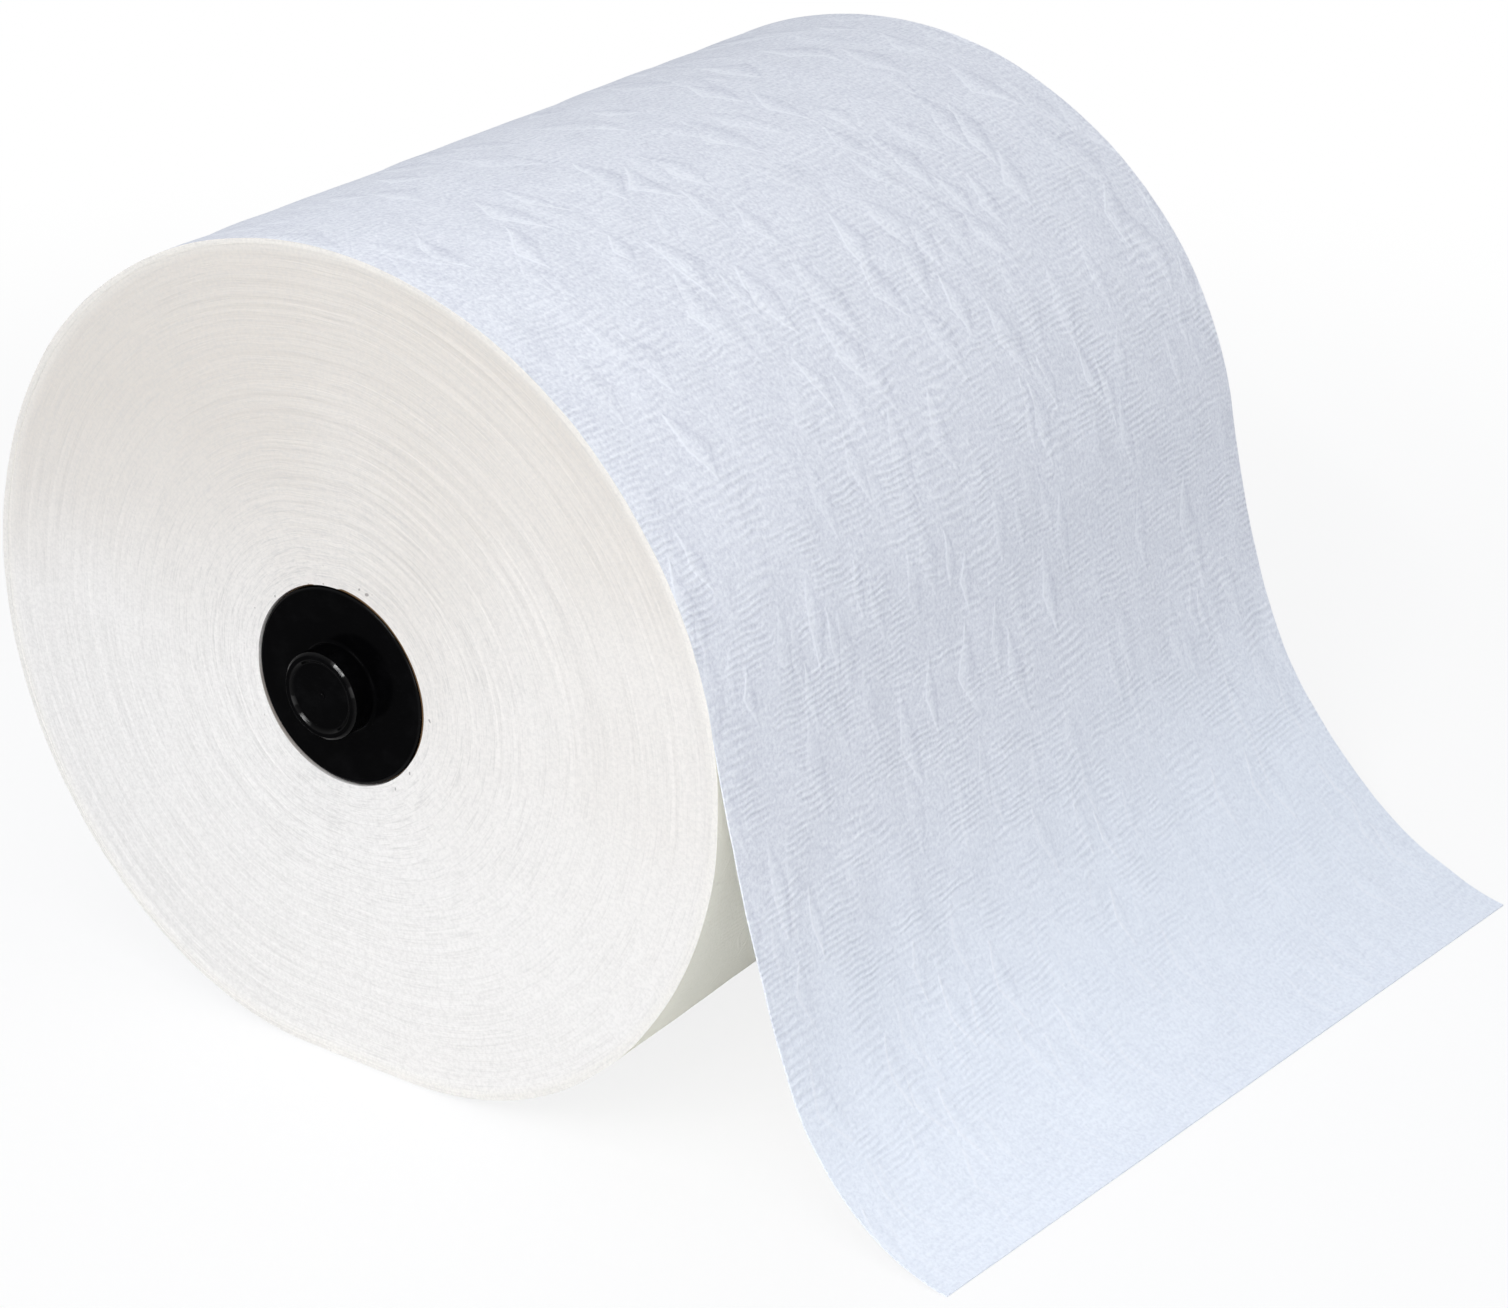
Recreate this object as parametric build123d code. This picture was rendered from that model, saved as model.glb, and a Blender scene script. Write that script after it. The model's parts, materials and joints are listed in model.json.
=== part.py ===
from build123d import *
from math import atan2, cos, degrees, radians, sin
import os

# Hard-wound paper towel roll, lying on its side with the free end of its web run out on the floor.
# Millimetres. +Y runs along the roll's axis from front to rear, +Z is up, the free end goes to +X.
# The origin is the middle of the flat spot that the roll lies on.

# The wound web: a soft roll that has settled a little under its own weight
web_width = 209.5
roll_radius = 97.5
rest_sag = 6.3
top_sag = 1.2
side_ease = 2.0
flat_width = 28.0

# Turns on the end faces: bundles of turns that stand proud of their neighbours
bundle_count = 5
bundle_share = 0.55
bundle_wander = 0.12
turn_depth = 0.5
lowest_stand = 0.3
bundle_phase = 2.4

# The free end of the web, a sheet that leaves the roll and curls out on the floor
sheet_thickness = 0.35
sheet_sink = 0.12
leave_angle = 10.25
fall_slope = 70.9
curl_slope = 43.6
end_slope = 10.5
near_curl_start = 32.3
near_reach = 54.5
far_curl_start = 41.5
far_reach = 77.8
arcs_per_bend = 4

# The board tube that the web is wound on
core_radius = 22.3
core_wall = 1.9
winding_clearance = 0.1

# The moulded plug in each end of the tube
plug_recess = 0.3
flange_clearance = 0.4
flange_thickness = 1.8
hub_radius = 9.7
hub_stand = 6.0
hub_rim_bevel = 0.6
dish_radius = 8.2
dish_depth = 0.8
plug_wall = 1.6
skirt_length = 18.0
skirt_clearance = 0.6
rib_count = 6
rib_width = 1.4
rib_clearance = 0.05
rib_lead = 2.0

# Worked out from the sizes above
bore_radius = core_radius + winding_clearance
flange_radius = bore_radius - flange_clearance
axis_height = roll_radius - rest_sag
core_length = web_width - 2 * (plug_recess + flange_thickness)
core_bore_radius = core_radius - core_wall


def end_plane(along):
    # Upright plane square to the axis, looking out of the front end, with its zero on the axis
    return Plane((0, along, axis_height), x_dir=(1, 0, 0), z_dir=(0, -1, 0))


def turn_face(radius):
    # One turn's outline in tangent arcs: round at the core, and more settled the further out it lies
    settled = (radius - bore_radius) / (roll_radius - bore_radius)
    ease = side_ease * settled
    half_flat = flat_width / 2 * settled
    side = radius - ease
    top = radius - top_sag * settled
    bottom = radius - rest_sag * settled
    # An arc that is tangent to the side arc and level where it meets the top or the flat spot
    top_radius = (ease**2 + top**2 - side**2) / (2 * (top - side))
    low_radius = ((half_flat - ease) ** 2 + bottom**2 - side**2) / (2 * (bottom - side))
    top_angle = degrees(atan2(top_radius - top, ease))
    low_angle = degrees(atan2(bottom - low_radius, half_flat - ease))
    side_sweep = top_angle + low_angle
    low_sweep = 90 - low_angle
    outline = [
        CenterArc((half_flat, low_radius - bottom), low_radius, -90, low_sweep),
        CenterArc((ease, 0), side, -low_angle, side_sweep),
        CenterArc((0, top - top_radius), top_radius, top_angle, 180 - 2 * top_angle),
        CenterArc((-ease, 0), side, 180 - top_angle, side_sweep),
        CenterArc((-half_flat, low_radius - bottom), low_radius, 180 + low_angle, low_sweep),
        Line((-half_flat, -bottom), (half_flat, -bottom)),
    ]
    return make_face(outline)


def turn_bundles():
    # Inner radius, outer radius and stand of each bundle, from the core out to the rim
    pitch = (roll_radius - bore_radius) / bundle_count
    bundles = []
    for number in range(bundle_count):
        wander = bundle_wander * cos(bundle_phase * number)
        outer = roll_radius - pitch * (bundle_count - 1 - number)
        inner = outer - pitch * (bundle_share + wander)
        spread = (1 + cos(bundle_phase * (bundle_count - 1 - number))) / 2
        bundles.append((inner, outer, lowest_stand + (turn_depth - lowest_stand) * spread))
    return bundles


def sheet_bends(fall_run, run, drop, slopes):
    # Radii of three tangent bends: two fall from the roll, and the last curls out on the floor
    falls = [cos(below) - cos(above) for above, below in zip(slopes, slopes[1:])]
    runs = [sin(above) - sin(below) for above, below in zip(slopes, slopes[1:])]
    curl = (run - fall_run) / runs[2]
    drop -= curl * falls[2]
    skew = falls[0] * runs[1] - falls[1] * runs[0]
    first = (drop * runs[1] - fall_run * falls[1]) / skew
    second = (fall_run * falls[0] - drop * runs[0]) / skew
    return first, second, curl


def sheet_face(curl_start, reach):
    # Edge view of the free end: tangent bends, with the same slopes at both edges so that it only bends
    leave = radians(leave_angle)
    outward = Vector(cos(leave), sin(leave))
    start = Vector(side_ease, 0) + outward * (roll_radius - side_ease - sheet_sink)
    slopes = [radians(slope) for slope in (90 - leave_angle, fall_slope, curl_slope, end_slope)]
    fall_run = roll_radius + curl_start - start.X
    run = roll_radius + reach - start.X
    drop = start.Y + axis_height - sheet_thickness * cos(slopes[3])
    outer, inner = [], []
    point = start
    for radius, above, below in zip(sheet_bends(fall_run, run, drop, slopes), slopes, slopes[1:]):
        centre = point + Vector(sin(above), cos(above)) * radius
        sweep = degrees(above - below) / arcs_per_bend
        for number in range(arcs_per_bend):
            begin = sweep * number - degrees(above) - 90
            outer.append(CenterArc(centre, radius, begin, sweep))
            inner.append(CenterArc(centre, radius + sheet_thickness, begin, sweep))
        point = centre - Vector(sin(below), cos(below)) * radius
    root = Line(start - outward * sheet_thickness, start)
    end = Line(outer[-1] @ 1, inner[-1] @ 1)
    return make_face([root, *outer, end, *reversed(inner)])


def make_paper_roll():
    half_width = web_width / 2
    inner_end = half_width - turn_depth
    roll = extrude(end_plane(inner_end) * turn_face(roll_radius), 2 * inner_end)
    for inner, outer, stand in turn_bundles():
        ring = turn_face(outer) - turn_face(inner)
        roll += extrude(end_plane(-inner_end) * ring, stand)
        roll += extrude(end_plane(inner_end) * ring, -stand)
    near = end_plane(-half_width) * sheet_face(near_curl_start, near_reach)
    far = end_plane(half_width) * sheet_face(far_curl_start, far_reach)
    roll += loft([near, far], ruled=True)
    return roll - extrude(end_plane(half_width) * Circle(bore_radius), web_width)


def make_core_tube():
    section = Circle(core_radius) - Circle(core_bore_radius)
    return extrude(end_plane(core_length / 2) * section, core_length)


def make_plug():
    # Half section: radius across, height along the axis, zero at the paper's end face, outwards up
    flange_face = -plug_recess
    flange_back = flange_face - flange_thickness
    skirt_end = flange_back - skirt_length
    skirt_radius = core_bore_radius - skirt_clearance
    dish_floor = hub_stand - dish_depth
    section = make_face(
        Polyline(
            (0, dish_floor),
            (dish_radius - dish_depth, dish_floor),
            (dish_radius, hub_stand),
            (hub_radius - hub_rim_bevel, hub_stand),
            (hub_radius, hub_stand - hub_rim_bevel),
            (hub_radius, flange_face),
            (flange_radius, flange_face),
            (flange_radius, flange_back),
            (skirt_radius, flange_back),
            (skirt_radius, skirt_end),
            (skirt_radius - plug_wall, skirt_end),
            (skirt_radius - plug_wall, flange_back),
            (hub_radius - plug_wall, flange_back),
            (hub_radius - plug_wall, dish_floor - plug_wall),
            (0, dish_floor - plug_wall),
            close=True,
        )
    )
    plug = revolve(section, Axis.Y)
    # Ribs that grip the tube, rooted in the skirt and stopped short of its leading edge
    rib_depth = skirt_clearance - rib_clearance + plug_wall / 2
    rib_length = skirt_length - rib_lead
    rib = Box(rib_depth, rib_length, rib_width, align=(Align.MAX, Align.MAX, Align.CENTER))
    rib = Pos(core_bore_radius - rib_clearance, flange_back, 0) * rib
    for number in range(rib_count):
        plug += Rot(0, 360 / rib_count * number, 0) * rib
    return plug


def place_plug(plug, turn):
    # Zero turn is the rear end, and half a turn about the upright is the front
    return Pos(0, 0, axis_height) * Rot(0, 0, turn) * Pos(0, web_width / 2, 0) * plug


plug = make_plug()
pieces = {
    "paper_roll": make_paper_roll(),
    "core_tube": make_core_tube(),
    "front_end_plug": place_plug(plug, 180),
    "rear_end_plug": place_plug(plug, 0),
}

os.makedirs("parts", exist_ok=True)
for name, piece in pieces.items():
    export_step(piece, os.path.join("parts", name + ".step"))
    print(name, len(piece.solids()), round(piece.volume), piece.bounding_box())
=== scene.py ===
import json
import math
import bmesh
import bpy
import numpy as np
from mathutils import Matrix, Vector


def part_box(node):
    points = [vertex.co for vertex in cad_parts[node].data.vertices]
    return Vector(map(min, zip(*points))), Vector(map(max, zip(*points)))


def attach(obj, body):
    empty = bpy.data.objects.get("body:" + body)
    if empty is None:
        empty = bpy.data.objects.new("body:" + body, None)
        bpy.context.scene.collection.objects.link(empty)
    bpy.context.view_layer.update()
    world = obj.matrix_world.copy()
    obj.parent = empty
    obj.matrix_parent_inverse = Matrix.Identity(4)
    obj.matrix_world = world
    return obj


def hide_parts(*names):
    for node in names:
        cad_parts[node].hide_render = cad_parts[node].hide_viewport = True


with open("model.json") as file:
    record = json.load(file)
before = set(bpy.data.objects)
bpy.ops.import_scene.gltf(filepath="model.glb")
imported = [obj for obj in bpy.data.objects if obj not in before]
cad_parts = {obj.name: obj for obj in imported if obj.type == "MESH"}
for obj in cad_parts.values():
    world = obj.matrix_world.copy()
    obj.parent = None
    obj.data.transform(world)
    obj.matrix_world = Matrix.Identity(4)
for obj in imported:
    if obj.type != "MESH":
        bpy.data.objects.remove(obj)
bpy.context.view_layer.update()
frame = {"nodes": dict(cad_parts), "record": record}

# Paper towel roll lying on its side, with the free end of its web run out on the floor.
# Metres. The roll's axis runs along Y, Z is up, and the free end goes to X.

mounts = {mount["name"]: mount for mount in frame["record"]["mounts"]}
axisHeight = mounts["front_hub"]["pos_m"][2]
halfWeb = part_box("paper_roll")[1].y  # half the web's width
millimetre = 0.001
fullTurn = 2 * math.pi


# Tools for shapes

def smoothStep(low, high, value):
    # three t squared less two t cubed, with t running from 0 at low to 1 at high
    t = np.clip((value - low) / (high - low), 0.0, 1.0)
    return t * t * (3.0 - 2.0 * t)


def latticeNoise(u, v, seed, wrap=0):
    # random values on a square lattice, eased between the four corners of a cell; wrap closes v after so many cells
    size = 256
    table = np.random.default_rng(seed).uniform(-1.0, 1.0, (size, size))
    cellU = np.floor(u).astype(int)
    cellV = np.floor(v).astype(int)
    easeU = smoothStep(0.0, 1.0, u - cellU)
    easeV = smoothStep(0.0, 1.0, v - cellV)
    nextV = cellV + 1
    if wrap:
        cellV, nextV = cellV % wrap, nextV % wrap
    nearRow = table[cellU % size, cellV % size] * (1 - easeU) + table[(cellU + 1) % size, cellV % size] * easeU
    farRow = table[cellU % size, nextV % size] * (1 - easeU) + table[(cellU + 1) % size, nextV % size] * easeU
    return nearRow * (1 - easeV) + farRow * easeV


def makePiece(name, points, faces, materials, sharpAngle):
    # a closed mesh from points and faces, with its normals turned outwards and its steep edges kept sharp
    mesh = bpy.data.meshes.new(name)
    mesh.from_pydata(points, [], faces)
    work = bmesh.new()
    work.from_mesh(mesh)
    bmesh.ops.recalc_face_normals(work, faces=work.faces[:])
    work.to_mesh(mesh)
    work.free()
    mesh.shade_smooth()
    mesh.set_sharp_from_angle(angle=math.radians(sharpAngle))
    for material in materials:
        mesh.materials.append(material)
    piece = bpy.data.objects.new(name, mesh)
    bpy.context.scene.collection.objects.link(piece)
    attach(piece, "root")
    return piece


def addVectors(piece, name, vectors):
    # one vector for each point, for the materials to read
    attribute = piece.data.attributes.new(name, "FLOAT_VECTOR", "POINT")
    attribute.data.foreach_set("vector", np.ascontiguousarray(vectors, dtype=np.float32).ravel())


def wrapGrid(rows, columns):
    # quads of a grid that closes on itself both ways, as indices row by row
    row, column = np.meshgrid(np.arange(rows), np.arange(columns), indexing="ij")
    here, there = row * columns, (row + 1) % rows * columns
    nextColumn = (column + 1) % columns
    return np.stack([here + column, there + column, there + nextColumn, here + nextColumn], -1).reshape(-1, 4)


# Tools for materials

def addNode(tree, kind, inputs=None, **settings):
    # one shader node, with each input given a value or a link
    node = tree.nodes.new(kind)
    for name, value in settings.items():
        setattr(node, name, value)
    for key, value in (inputs or {}).items():
        if isinstance(value, bpy.types.NodeSocket):
            tree.links.new(value, node.inputs[key])
        else:
            node.inputs[key].default_value = value
    return node


def calc(tree, operation, *values):
    # one step of arithmetic on numbers
    return addNode(tree, "ShaderNodeMath", dict(enumerate(values)), operation=operation).outputs[0]


def vectorCalc(tree, operation, *values):
    # the same step on each part of a vector
    return addNode(tree, "ShaderNodeVectorMath", dict(enumerate(values)), operation=operation).outputs[0]


def product(tree, first, *others):
    # the first value times each of the others
    for value in others:
        first = calc(tree, "MULTIPLY", first, value)
    return first


def weighted(tree, total, *terms):
    # the total plus each value times its weight
    for value, weight in terms:
        total = calc(tree, "MULTIPLY_ADD", value, weight, total)
    return total


def between(tree, draw, ends):
    # from the first end to the second in step with a draw from 0 to 1
    return calc(tree, "MULTIPLY_ADD", draw, ends[1] - ends[0], ends[0])


def mapSmooth(tree, value, low, high, start=0.0, end=1.0):
    # from start to end as the value goes from low to high, eased as in smoothStep
    inputs = {"Value": value, "From Min": low, "From Max": high, "To Min": start, "To Max": end}
    return addNode(tree, "ShaderNodeMapRange", inputs, interpolation_type="SMOOTHSTEP").outputs[0]


def mixColour(tree, factor, first, second):
    # the first colour at factor 0, the second at 1
    return addNode(tree, "ShaderNodeMix", {0: factor, 6: first, 7: second}, data_type="RGBA").outputs[2]


def noise(tree, vector, scale, detail=2.0, roughness=0.5):
    # smooth random values round one half, with scale cells to a unit of the vector
    inputs = {"Vector": vector, "Scale": scale, "Detail": detail, "Roughness": roughness}
    return addNode(tree, "ShaderNodeTexNoise", inputs).outputs[0]


def newMaterial(name):
    # a new material, with its node tree and its shader
    material = bpy.data.materials.new(name)
    material.use_nodes = True
    tree = material.node_tree
    return material, tree, tree.nodes["Principled BSDF"]


def readAttribute(tree, name):
    # the vector that addVectors gave each point, blended over the faces
    return addNode(tree, "ShaderNodeAttribute", attribute_name=name).outputs["Vector"]


def readPlace(tree):
    # the point's place in the shared frame
    return addNode(tree, "ShaderNodeTexCoord").outputs["Object"]


def splitVector(tree, vector):
    # the three parts of a vector
    return addNode(tree, "ShaderNodeSeparateXYZ", {0: vector}).outputs


def finishSurface(tree, shader, colour, roughness, height):
    # height is in millimetres, so the bump's distance is one millimetre
    bump = addNode(tree, "ShaderNodeBump", {"Strength": 1.0, "Distance": millimetre, "Height": height})
    tree.links.new(colour, shader.inputs["Base Color"])
    tree.links.new(roughness, shader.inputs["Roughness"])
    tree.links.new(bump.outputs["Normal"], shader.inputs["Normal"])


# Fibres, shared by the paper and the board

fibreLook = {
    "detail": 3.0,
    "roughness": 0.65,
    "mottleShare": 0.07,  # mottles to a fibre
    "mottleDetail": 2.0,
    "sockets": (
        ("Vector", "INPUT", "NodeSocketVector"),
        ("Fibres per metre", "INPUT", "NodeSocketFloat"),
        ("Height", "OUTPUT", "NodeSocketFloat"),
        ("Mottle", "OUTPUT", "NodeSocketFloat"),
    ),
}


def makeFibreGrain():
    # fine fibre height and a broad mottle, both from 0 to 1
    look = fibreLook
    group = bpy.data.node_groups.new("fibreGrain", "ShaderNodeTree")
    for name, way, kind in look["sockets"]:
        group.interface.new_socket(name=name, in_out=way, socket_type=kind)
    given = group.nodes.new("NodeGroupInput").outputs
    vector, perMetre = given["Vector"], given["Fibres per metre"]
    fine = noise(group, vector, perMetre, look["detail"], look["roughness"])
    broad = noise(group, vector, product(group, perMetre, look["mottleShare"]), look["mottleDetail"])
    addNode(group, "NodeGroupOutput", {"Height": fine, "Mottle": broad})
    return group


fibreGrain = makeFibreGrain()


def grain(tree, vector, perMetre):
    # the shared group, placed with a material's own number of fibres
    node = addNode(tree, "ShaderNodeGroup", node_tree=fibreGrain)
    tree.links.new(vector, node.inputs["Vector"])
    node.inputs["Fibres per metre"].default_value = perMetre
    return node.outputs["Height"], node.outputs["Mottle"]


# The web's surface: soft white towel paper with pressed creases and crepe ribs.
# Four numbers for a fade are where it starts and ends, and its value at both.

towelLook = {
    "light": (0.94, 0.96, 1.0, 1.0),  # the tips of the fibres, and the hollows between them; the tone between these two also carries the painted lit and shaded sides of the lozenges
    "shade": (0.60, 0.615, 0.695, 1.0),
    # painted highlight along the crease lines
    "creaseColour": (0.935, 0.955, 1.0, 1.0),
    "freeColour": (0.81, 0.885, 0.985, 1.0),  # painted sky light: the free end, which hangs free in the light, painted cooler
    "coveredColour": (1.0, 0.975, 0.85, 1.0),  # painted warm bounce light, on the roll's side below the free end
    # lozenges pressed into the web
    "creaseCell": (0.0225, 0.0140),  # metres along and across the web that hold one lozenge of a layer
    "creaseLayers": ((0.0, 0.0, 0.5), (0.5, 0.37, 10.5), (0.21, 0.68, 20.5)),  # shift of each layer, and its seed
    "creaseMiddle": ((0.4, 0.6), (0.35, 0.65)),  # where the middle may lie in the cell, along and across
    "creaseHalf": (1.9, 4.3),  # millimetres across half a lozenge, the narrowest and the widest
    "creaseReach": (0.26, 0.50),  # half its length in cells, the same two
    "creaseDraw": (0.25, 0.90),  # draws for no lozenge and for a full one
    "creaseTip": (0.9, 1.15, 1.0, 0.0),  # fade at the tips, in shares of the reach
    "creaseLeast": 0.03,  # weaker ones are left out
    "creaseSlant": (-0.02, 0.11, 0.28, 0.80),  # slant of the sides, from the free end up the roll
    "creaseScale": (-0.02, 0.11, 0.75, 1.25),  # size, the same way
    "creaseTail": (-0.14, -0.03, 0.40, 1.0),  # strength along the free end
    "creaseArea": (0.36, 0.56, 0.60, 1.0),  # strength from place to place
    "areasPerMetre": 24.0,
    "warpsPerMetre": 48.0,
    "warpReach": (0.006, 0.006, 0.0),  # metres that the pattern is pulled about
    "creaseWidth": 0.70,  # millimetres from a side to where its line ends
    "creaseInside": (-0.1, 0.4),  # millimetres in from a side where the lozenge's painted lit and shaded tone starts and is full
    "darkSide": (-0.5, 0.5),  # lean at which the painted shade line takes over from the painted highlight line
    "brightSide": (-0.5, 0.5, 1.0, 0.2),
    "creaseRise": 0.04,  # height over half the width
    # crepe ribs across the web
    "ribPitch": (0.00145, 0.00210),  # metres, in the stretches with fine ribs and in those with broad ones
    "broadsPerMetre": 33.0,
    "broadRibs": (0.46, 0.58),
    "patchesPerMetre": 85.0,
    "ribPatch": (0.38, 0.60),
    "ribDrift": (45.0, 2.0),  # slow wander of the ribs: waves per metre, and ribs that it moves them
    "ribJolt": (190.0, 0.8),  # quick wander
    "ribTop": (0.07, 0.12, 1.0, 0.4),  # strength up the roll
    "ribTail": (-0.13, -0.05, 0.45, 1.0),  # strength along the free end
    "crepeStroke": (800.0, 230.0, 0.0),  # strokes per metre along the web and across it
    "fibresPerMetre": 1150.0,
    # heights in millimetres
    "creaseHeight": 0.10,
    "ribHeight": 0.08,
    "crepeHeight": 0.12,
    "fibreHeight": 0.14,
    # shares in the tone from shade to light; the lozenges' sides, their dark lines and the free end's lift are
    # painted light and shade
    "toneStart": -0.57,
    "fibreTone": 1.7,
    "ribTone": 0.13,
    "facingTone": 0.26,
    "darkTone": -0.22,
    "crepeTone": 0.42,
    "mottleTone": 0.30,
    "freeTone": 0.15,
    "freeRun": (-0.10, -0.02, 1.0, 0.0),  # fade of the painted sky light on the free end
    "freeShare": 0.40,
    "brightShare": 0.90,
    "coveredRun": (0.44, 0.52),  # metres along the turn, where the painted bounce light below the free end starts and is full
    "roughness": (0.2, 0.8, 0.84, 0.98),  # from the hollows to the tips of the fibres
    "specular": 0.2,
}


def creaseLayer(tree, place, slant, scale, layer):
    # a lozenge in each cell of a lattice, bent at its middle, with its middle, slants, size and strength drawn for
    # that cell; gives the run in from its nearer side in millimetres, its lean from -1 at the front side to 1 at the
    # rear one, and its strength
    look = towelLook
    shiftAlong, shiftAcross, seed = layer
    long, wide = look["creaseCell"]
    thinnest, farOut = 0.01, -20.0  # millimetres
    perCell = (1.0 / long, 1.0 / wide, 0.0)
    scaled = vectorCalc(tree, "MULTIPLY_ADD", place, perCell, (shiftAlong, shiftAcross, 0.0))
    cell = vectorCalc(tree, "FLOOR", scaled)
    spot = splitVector(tree, vectorCalc(tree, "FRACTION", scaled))
    drawn = []
    for level in (seed, seed + 5.0):  # three draws on each level
        moved = vectorCalc(tree, "ADD", cell, (0.5, 0.5, level))
        drawn += splitVector(tree, addNode(tree, "ShaderNodeTexWhiteNoise", {"Vector": moved}).outputs["Color"])
    middle = [between(tree, draw, ends) for draw, ends in zip(drawn, look["creaseMiddle"])]
    along = calc(tree, "SUBTRACT", spot[0], middle[0])
    across = calc(tree, "SUBTRACT", spot[1], middle[1])
    for draw, half in ((drawn[2], "MAXIMUM"), (drawn[3], "MINIMUM")):  # each half has its own slant
        tilt = product(tree, between(tree, draw, (-1.0, 1.0)), slant)
        across = calc(tree, "SUBTRACT", across, product(tree, tilt, calc(tree, half, along, 0.0)))
    side = product(tree, across, wide / millimetre)
    share = calc(tree, "DIVIDE", calc(tree, "ABSOLUTE", along), between(tree, drawn[4], look["creaseReach"]))
    left = calc(tree, "MAXIMUM", calc(tree, "SUBTRACT", 1.0, share), 0.0)
    halfWidth = product(tree, between(tree, drawn[4], look["creaseHalf"]), scale, left)
    lean = calc(tree, "DIVIDE", side, calc(tree, "MAXIMUM", halfWidth, thinnest))
    lean = calc(tree, "MAXIMUM", calc(tree, "MINIMUM", lean, 1.0), -1.0)
    fullness = mapSmooth(tree, drawn[5], *look["creaseDraw"])
    strength = product(tree, fullness, mapSmooth(tree, share, *look["creaseTip"]))
    edge = calc(tree, "SUBTRACT", halfWidth, calc(tree, "ABSOLUTE", side))
    absent = calc(tree, "LESS_THAN", strength, look["creaseLeast"])
    edge = weighted(tree, edge, (absent, farOut))  # so that another layer shows instead
    return addNode(tree, "ShaderNodeCombineXYZ", {0: edge, 1: lean, 2: strength}).outputs[0]


def makeCreases(tree, place, along):
    # of the lozenges that lie over each other, the one whose side is furthest off shows
    look = towelLook
    warpInputs = {"Vector": place, "Scale": look["warpsPerMetre"], "Detail": 1.0}
    warp = addNode(tree, "ShaderNodeTexNoise", warpInputs).outputs["Color"]
    warped = vectorCalc(tree, "MULTIPLY_ADD", warp, look["warpReach"], place)
    slant = mapSmooth(tree, along, *look["creaseSlant"])
    scale = mapSmooth(tree, along, *look["creaseScale"])
    crease = None
    for layer in look["creaseLayers"]:
        fresh = creaseLayer(tree, warped, slant, scale, layer)
        if crease:
            deeper = calc(tree, "GREATER_THAN", splitVector(tree, fresh)[0], splitVector(tree, crease)[0])
            fresh = addNode(tree, "ShaderNodeMix", {0: deeper, 4: crease, 5: fresh}, data_type="VECTOR").outputs[1]
        crease = fresh
    edge, lean, strength = splitVector(tree, crease)
    area = mapSmooth(tree, noise(tree, place, look["areasPerMetre"], detail=1.0), *look["creaseArea"])
    return edge, lean, product(tree, strength, area, mapSmooth(tree, along, *look["creaseTail"]))


def makeRibs(tree, place, along):
    # sine waves along the web, fine or broad from stretch to stretch, that wander and come in patches
    look = towelLook
    driftScale, driftRibs = look["ribDrift"]
    joltScale, joltRibs = look["ribJolt"]
    drift = noise(tree, place, driftScale, detail=1.0)
    jolt = noise(tree, place, joltScale, detail=0.0)
    wander = calc(tree, "MULTIPLY_ADD", drift, driftRibs, product(tree, jolt, joltRibs))
    waves = []
    for pitch in look["ribPitch"]:
        count = calc(tree, "MULTIPLY_ADD", along, 1.0 / pitch, wander)
        waves.append(calc(tree, "SINE", product(tree, count, fullTurn)))
    broad = mapSmooth(tree, noise(tree, place, look["broadsPerMetre"], detail=1.0), *look["broadRibs"])
    wave = addNode(tree, "ShaderNodeMix", {0: broad, 2: waves[0], 3: waves[1]}).outputs[0]
    patch = mapSmooth(tree, noise(tree, place, look["patchesPerMetre"]), *look["ribPatch"])
    fades = [mapSmooth(tree, along, *look[fade]) for fade in ("ribTop", "ribTail")]
    return product(tree, wave, patch, *fades)


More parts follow.
